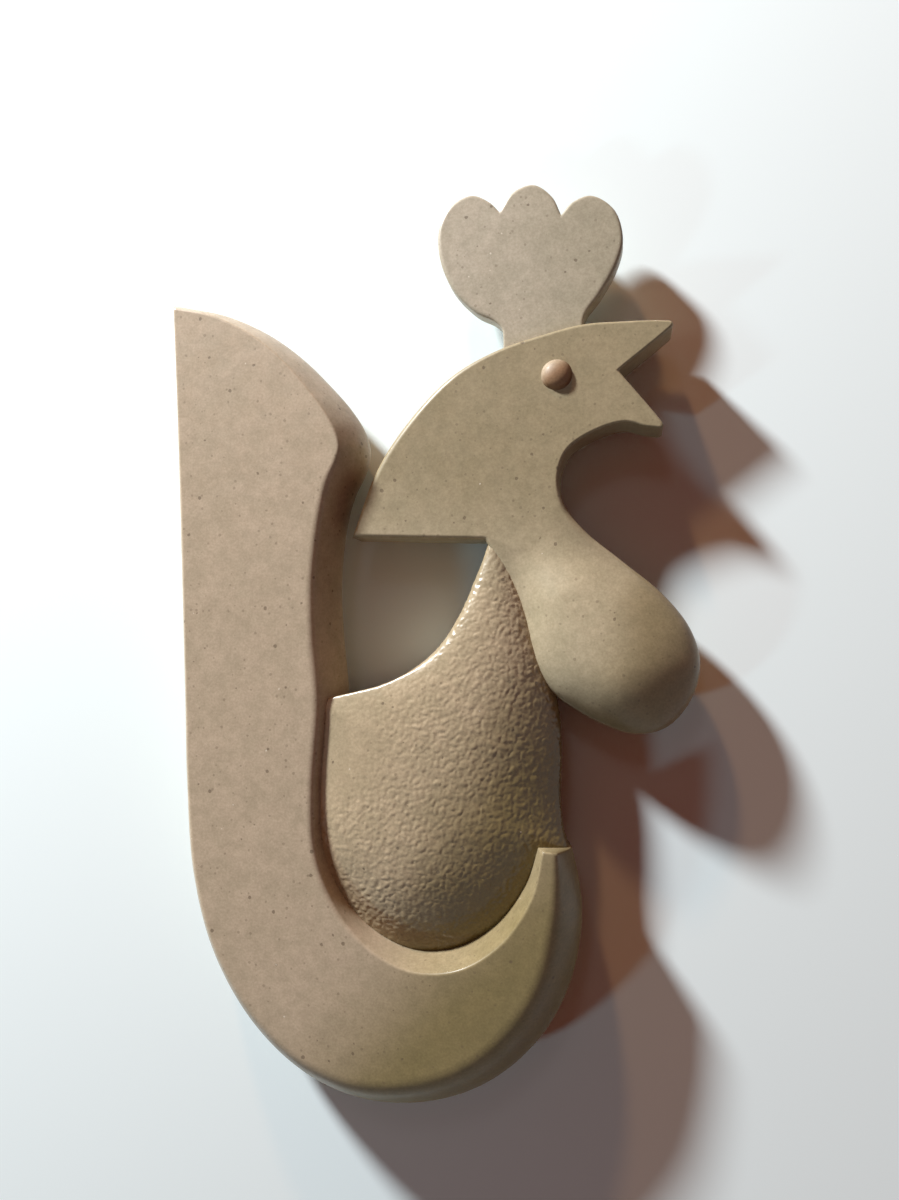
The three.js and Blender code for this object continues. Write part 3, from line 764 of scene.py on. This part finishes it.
# Waviness of the drifts of tone and of painted shade, as its scale and its width in metres
SWIRL_SCALE = 45.0
SWIRL_WIDTH = 0.016

SPECK_BROWN = (0.105, 0.072, 0.042, 1.0)
FLECK_PALE = (0.80, 0.74, 0.62, 1.0)
SPECK_STRENGTH = 0.62
SMALL_SPECK_STRENGTH = 0.36
FLECK_STRENGTH = 0.6

# How far the polish wanders around a stone's roughness, and how much smoother a fleck is
POLISH_BELOW = 0.05
POLISH_ABOVE = 0.06
FLECK_POLISH = 0.2

# Relief in the polished surface: height in metres and the shares of its layers
RELIEF_HEIGHT = 0.00010
RELIEF_WAVES = 0.7
RELIEF_DUST = 0.2
RELIEF_PITS = 0.25


def stone(name, pale, tone_and_shade_drifts, roughness, coat, relief):
    """Cast stone: drifting tones, some of them painted shade, faint mottling, dark specks and a
    few pale flecks.
    """
    n = Nodes(name)
    base = pale
    wave = n.math("SUBTRACT", n.noise(SWIRL_SCALE, 2.0, 0.5), 0.5)
    swirl = n.math("MULTIPLY", wave, SWIRL_WIDTH)
    # A drift that darkens the stone where its form turns away from the lamps, or lies far from
    # them, is painted shade.
    for along, start, end, tone in tone_and_shade_drifts:
        place = n.add("ShaderNodeVectorMath", {"operation": "DOT_PRODUCT"})
        n.feed(place.inputs[0], n.place)
        place.inputs[1].default_value = (*along, 0.0)
        way = n.math("ADD", place.outputs["Value"], swirl)
        base = n.mix(n.ramp(way, start, end), base, tone)
    for scale, detail, low, high, dark, light in MOTTLING:
        dust = n.noise(scale, detail, MOTTLING_ROUGHNESS)
        base = n.mix(1.0, base, n.mix(n.ramp(dust, low, high), dark, light), "MULTIPLY")
    specks = n.specks(480.0, share=0.34, size_low=0.05, size_high=0.17)
    small = n.specks(860.0, share=0.50, size_low=0.08, size_high=0.24)
    fleck = n.specks(560.0, share=0.035, size_low=0.05, size_high=0.11)
    base = n.mix(n.math("MULTIPLY", specks, SPECK_STRENGTH), base, SPECK_BROWN)
    base = n.mix(n.math("MULTIPLY", small, SMALL_SPECK_STRENGTH), base, SPECK_BROWN)
    base = n.mix(n.math("MULTIPLY", fleck, FLECK_STRENGTH), base, FLECK_PALE)
    n.feed(n.shader.inputs["Base Color"], base)
    polish = n.ramp(
        n.noise(240.0), 0.3, 0.7, roughness - POLISH_BELOW, roughness + POLISH_ABOVE)
    polish = n.math("SUBTRACT", polish, n.math("MULTIPLY", fleck, FLECK_POLISH))
    n.feed(n.shader.inputs["Roughness"], polish)
    n.shader.inputs["Specular IOR Level"].default_value = 0.35
    n.shader.inputs["Coat Weight"].default_value = coat
    n.shader.inputs["Coat Roughness"].default_value = 0.22
    waves = n.math("MULTIPLY", n.noise(300.0, 2.0, 0.5), RELIEF_WAVES)
    height = n.math("ADD", waves, n.math("MULTIPLY", dust, RELIEF_DUST))
    height = n.math("SUBTRACT", height, n.math("MULTIPLY", specks, RELIEF_PITS))
    bump = n.add("ShaderNodeBump", Height=height, Strength=relief, Distance=RELIEF_HEIGHT)
    n.feed(n.shader.inputs["Normal"], bump.outputs["Normal"])
    return n.material


def put(piece, material, node):
    """Give a piece its material and set it in place of a node of the part."""
    piece.data.materials.clear()
    piece.data.materials.append(material)
    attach(piece, "root")
    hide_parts(node)


def steel():
    n = Nodes("dowel_steel_brushed")
    streak = n.noise(900.0, 3.0, 0.5)
    tone = n.mix(streak, (0.42, 0.43, 0.44, 1.0), (0.58, 0.59, 0.60, 1.0))
    n.feed(n.shader.inputs["Base Color"], tone)
    n.shader.inputs["Metallic"].default_value = 1.0
    n.feed(n.shader.inputs["Roughness"], n.ramp(streak, 0.2, 0.8, 0.28, 0.42))
    return n.material


tail = make_slab("tail_bowl", BODY_OUTLINE, BODY_HALF, power=1.5, spacing=0.5)
comb = make_slab("comb_lobes", COMB_OUTLINE, COMB_HALF, power=2.0, spacing=0.3)
head = make_head()
breast = make_breast()
eye_front = make_turned("eye_bead_front", eye_profile(), EYE_SEGMENTS, EYE_AT, 1)
eye_back = make_turned("eye_bead_back", eye_profile(), EYE_SEGMENTS, EYE_AT, -1)

# Each drift is a direction in the plane of the figure, where along it the colour starts and ends
# to turn, and the colour that it turns to; the drifts marked below as painted shade darken sides
# turned from the lamps
# The tail darkens toward the lower right of the bowl, standing in for the lamp's light falling off
# there: painted shade.
tail_stone = stone(
    "speckled_stone_tail", (0.430, 0.350, 0.252, 1.0),
    [((1.2, -1.0), 0.038, 0.078, (0.200, 0.160, 0.070, 1.0))],
    roughness=0.44, coat=0.15, relief=0.35)
# The head's second drift darkens the right side of the wattle, which turns away from the lamp:
# painted shade. The first darkens the head toward the crown.
head_stone = stone(
    "speckled_stone_head", (0.400, 0.342, 0.228, 1.0), [
        ((0.2, 1.0), 0.012, 0.034, (0.300, 0.248, 0.150, 1.0)),
        ((1.0, -0.35), 0.027, 0.043, (0.250, 0.200, 0.110, 1.0)),
    ], roughness=0.44, coat=0.15, relief=0.35)
comb_stone = stone(
    "speckled_stone_comb", (0.425, 0.378, 0.292, 1.0),
    [((1.0, 0.0), 0.004, 0.034, (0.345, 0.308, 0.225, 1.0))],
    roughness=0.44, coat=0.15, relief=0.35)
# The breast's second drift darkens its right and lower right, which slope away from the lamp:
# painted shade. The first darkens it a little toward the upper left rim.
breast_stone = stone(
    "grained_stone", (0.425, 0.342, 0.222, 1.0), [
        ((-0.72, 0.69), -0.012, 0.002, (0.345, 0.285, 0.183, 1.0)),
        ((1.0, -0.5), 0.014, 0.036, (0.170, 0.122, 0.036, 1.0)),
    ], roughness=0.36, coat=0.5, relief=0.7)
# The eye's drift darkens its lower right half, the side of the stud turned from the lamp: painted
# shade.
eye_stone = stone(
    "eye_stone_brown", (0.34, 0.270, 0.190, 1.0),
    [((1.0, -1.0), -0.0235, -0.0195, (0.27, 0.160, 0.085, 1.0))],
    roughness=0.52, coat=0.05, relief=0.25)

put(tail, tail_stone, "tail")
put(head, head_stone, "head")
put(comb, comb_stone, "comb")
put(breast, breast_stone, "breast")
put(eye_front, eye_stone, "eye_front")
put(eye_back, eye_stone, "eye_back")

dowel_finish = steel()
for name in ("tail_dowel", "bowl_dowel", "neck_dowel", "comb_dowel"):
    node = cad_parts[name]
    node.data.materials.clear()
    node.data.materials.append(dowel_finish)

# Table top

FLOOR_RADIUS = 0.42
FLOOR_SIDES = 160
floor_rim = [
    (FLOOR_RADIUS * math.cos(turn), FLOOR_RADIUS * math.sin(turn), 0.0)
    for turn in np.linspace(0, 2 * math.pi, FLOOR_SIDES, endpoint=False).tolist()
]
floor_mesh = bpy.data.meshes.new("table_top")
floor_mesh.from_pydata(floor_rim, [], [tuple(range(FLOOR_SIDES))])
floor = bpy.data.objects.new("table_top", floor_mesh)
bpy.context.scene.collection.objects.link(floor)
floor_nodes = Nodes("table_white")
floor_nodes.shader.inputs["Base Color"].default_value = (0.83, 0.935, 0.955, 1.0)
floor_nodes.shader.inputs["Roughness"].default_value = 0.7
floor_nodes.shader.inputs["Specular IOR Level"].default_value = 0.0
floor_mesh.materials.append(floor_nodes.material)

# Light: a small soft main lamp low in the upper left, a weak warm one beside it, a weak cool one
# in the lower left, a faint one high above the comb, and a warm dim room

LAMP_AIM = Vector((0.0, 0.0, 0.008))


def lamp(name, azimuth, elevation, distance, size, watts, colour, glossy=True):
    """Round lamp aimed at the figure, from angles in degrees and lengths in metres."""
    a, e = math.radians(azimuth), math.radians(elevation)
    data = bpy.data.lights.new(name, "AREA")
    data.shape = "DISK"
    data.size = size
    data.energy = watts
    data.color = colour
    light = bpy.data.objects.new(name, data)
    toward = Vector((math.cos(a) * math.cos(e), math.sin(a) * math.cos(e), math.sin(e)))
    light.location = LAMP_AIM + toward * distance
    light.rotation_euler = (LAMP_AIM - light.location).to_track_quat("-Z", "Y").to_euler()
    light.visible_glossy = glossy
    bpy.context.scene.collection.objects.link(light)


lamp("lamp_main", 130, 20.8, 0.72, 0.085, 11.4, (0.955, 0.985, 1.0))
lamp("lamp_cool", 217, 27, 0.70, 0.06, 0.70, (0.62, 0.92, 1.0), glossy=False)
lamp("lamp_warm", 105, 20, 0.72, 0.05, 1.15, (1.0, 0.47, 0.20), glossy=False)
lamp("lamp_room", 100, 54, 0.60, 0.11, 0.06, (1.0, 0.97, 0.95))

# The room lights the figure dim and warm, and is seen pale, also in reflections
world = bpy.data.worlds.new("room")
bpy.context.scene.world = world
world.use_nodes = True
world_nodes = world.node_tree.nodes
world_links = world.node_tree.links
dim_room = world_nodes["Background"]
dim_room.inputs["Color"].default_value = (1.0, 0.30, 0.19, 1.0)
dim_room.inputs["Strength"].default_value = 0.10
pale_wall = world_nodes.new("ShaderNodeBackground")
pale_wall.inputs["Color"].default_value = (0.80, 0.83, 0.84, 1.0)
pale_wall.inputs["Strength"].default_value = 0.8
rays = world_nodes.new("ShaderNodeLightPath")
seen = rays.outputs["Is Camera Ray"]
for kind in ("Is Glossy Ray", "Is Transmission Ray"):
    either = world_nodes.new("ShaderNodeMath")
    either.operation = "MAXIMUM"
    world_links.new(seen, either.inputs[0])
    world_links.new(rays.outputs[kind], either.inputs[1])
    seen = either.outputs[0]
choice = world_nodes.new("ShaderNodeMixShader")
world_links.new(seen, choice.inputs[0])
world_links.new(dim_room.outputs[0], choice.inputs[1])
world_links.new(pale_wall.outputs[0], choice.inputs[2])
world_links.new(choice.outputs[0], world_nodes["World Output"].inputs["Surface"])

# Camera at the viewing angle of the photo, solved from its perspective

CAMERA_AT = (33.80, -2.05, 158.95)
CAMERA_RIGHT = Vector((0.98205, 0.03878, -0.18467))
CAMERA_FORWARD = Vector((-0.18643, 0.04779, -0.98131))
PIXEL_FOCAL = 906.0
PIXEL_HEIGHT = 1200.0
SENSOR = 36.0
NEAREST = 0.01

camera_data = bpy.data.cameras.new("camera")
camera_data.sensor_fit = "VERTICAL"
camera_data.sensor_height = SENSOR
camera_data.lens = PIXEL_FOCAL / PIXEL_HEIGHT * SENSOR
camera_data.clip_start = NEAREST
camera = bpy.data.objects.new("camera", camera_data)
bpy.context.scene.collection.objects.link(camera)
backward = -CAMERA_FORWARD.normalized()
right = (CAMERA_RIGHT - backward * CAMERA_RIGHT.dot(backward)).normalized()
up = backward.cross(right)
turn = Matrix((right, up, backward)).transposed().to_4x4()
place = Vector(CAMERA_AT) + Vector((SHIFT[0], SHIFT[1], 0.0))
camera.matrix_world = Matrix.Translation(place * MM) @ turn
bpy.context.scene.camera = camera

bpy.context.scene.view_settings.view_transform = "Standard"
